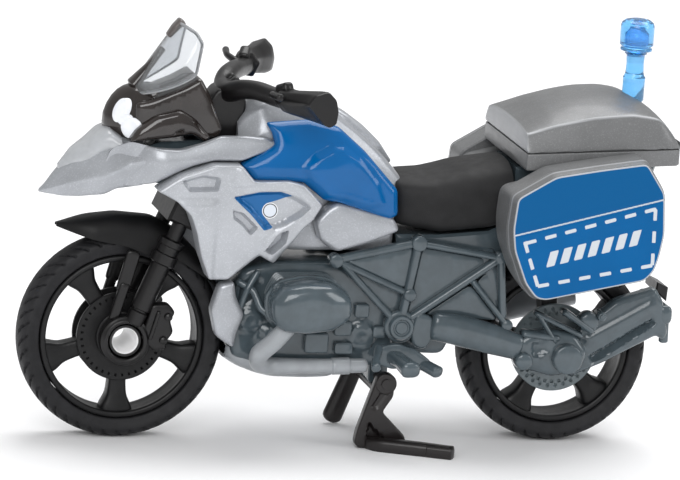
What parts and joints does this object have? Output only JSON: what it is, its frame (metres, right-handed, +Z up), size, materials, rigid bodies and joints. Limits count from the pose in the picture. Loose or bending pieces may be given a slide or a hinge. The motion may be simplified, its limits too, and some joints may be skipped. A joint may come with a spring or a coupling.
{
  "type": "pocket police touring motorcycle toy",
  "caption": "Pocket-size toy police touring motorcycle with rolling wheels, turning fork, folding centre stand, side cases, rear case and beacon mast.",
  "frame": {"origin": "on the ground, at the middle of the bounding box", "axes": "+X forward, +Y to the rider's left, +Z up; it stands on both wheels and the centre stand"},
  "size_m": [0.0708, 0.0308, 0.0463],
  "materials": {
    "tyre_black": "satin moulded tread",
    "wheel_black": "satin moulded plastic",
    "axle_steel": "plain drawn steel",
    "black_moulding": "satin moulded plastic",
    "engine_grey": "glossy moulded grey plastic",
    "silver_moulding": "light silver-grey plastic",
    "silver_paint": "silver metallic paint on a casting",
    "blue_paint": "glossy traffic-blue paint",
    "smoke_clear": "dark glossy smoke plastic",
    "lens_white": "clear-white lens",
    "screen_clear": "clear moulded plastic",
    "seat_black": "matt textured plastic",
    "case_grey": "grey metallic paint",
    "beacon_blue": "clear blue moulded plastic"
  },
  "bodies": {
    "chassis": {"engine_block": "engine_grey", "cylinder_left": "engine_grey", "cylinder_right": "engine_grey", "head_cover_left": "engine_grey", "head_cover_right": "engine_grey", "exhaust_header_left": "silver_moulding", "exhaust_header_right": "silver_moulding", "silencer": "silver_moulding", "belly_pan": "silver_moulding", "front_spoiler_left": "silver_moulding", "front_spoiler_right": "silver_moulding", "frame_side_left": "engine_grey", "frame_side_right": "engine_grey", "swingarm": "engine_grey", "rear_axle": "axle_steel", "light_carrier": "engine_grey", "tail_light": "smoke_clear", "foot_rest_left": "black_moulding", "foot_rest_right": "black_moulding", "stand_pin": "axle_steel", "tank": "silver_paint", "steering_head": "engine_grey", "tank_side_left": "blue_paint", "tank_side_right": "blue_paint", "side_shroud_left": "silver_paint", "side_shroud_right": "silver_paint", "rear_side_panel_left": "silver_paint", "rear_side_panel_right": "silver_paint", "fairing_wing_left": "silver_paint", "fairing_wing_right": "silver_paint", "beak": "silver_paint", "headlight_housing": "smoke_clear", "headlight_lens": "lens_white", "cockpit": "smoke_clear", "windscreen": "screen_clear", "screen_clip": "smoke_clear", "seat": "seat_black", "tail_frame": "engine_grey", "top_case_base": "case_grey", "top_case_lid": "case_grey", "light_mast": "beacon_blue", "beacon": "beacon_blue", "pannier_left": "case_grey", "pannier_right": "case_grey", "pannier_lid_left": "blue_paint", "pannier_lid_right": "blue_paint"},
    "steering": {"fork_leg_left": "black_moulding", "fork_leg_right": "black_moulding", "fork_crown": "black_moulding", "steering_stem": "axle_steel", "front_fender": "black_moulding", "handlebar": "black_moulding", "hand_guard_left": "black_moulding", "hand_guard_right": "black_moulding"},
    "front_wheel": {"front_tyre": "tyre_black", "front_rim": "wheel_black", "front_axle_sleeve": "axle_steel"},
    "rear_wheel": {"rear_tyre": "tyre_black", "rear_rim": "wheel_black"},
    "stand": {"centre_stand": "black_moulding"}
  },
  "joints": [
    {"name": "steering_turn", "type": "hinge", "parent": "chassis", "child": "steering", "pos_m": [0.0244, 0, 0.01105], "axis": [-0.3827, 0, 0.9239], "range_deg": [-15, 15]},
    {"name": "front_wheel_spin", "type": "hinge", "parent": "steering", "child": "front_wheel", "pos_m": [0.0244, 0, 0.01105], "axis": [0, 1, 0], "continuous": true},
    {"name": "rear_wheel_spin", "type": "hinge", "parent": "chassis", "child": "rear_wheel", "pos_m": [-0.0232, 0, 0.01034], "axis": [0, 1, 0], "continuous": true},
    {"name": "stand_fold", "type": "hinge", "parent": "chassis", "child": "stand", "pos_m": [-0.0038, 0, 0.0071], "axis": [0, 1, 0], "range_deg": [0, 80]}
  ]
}
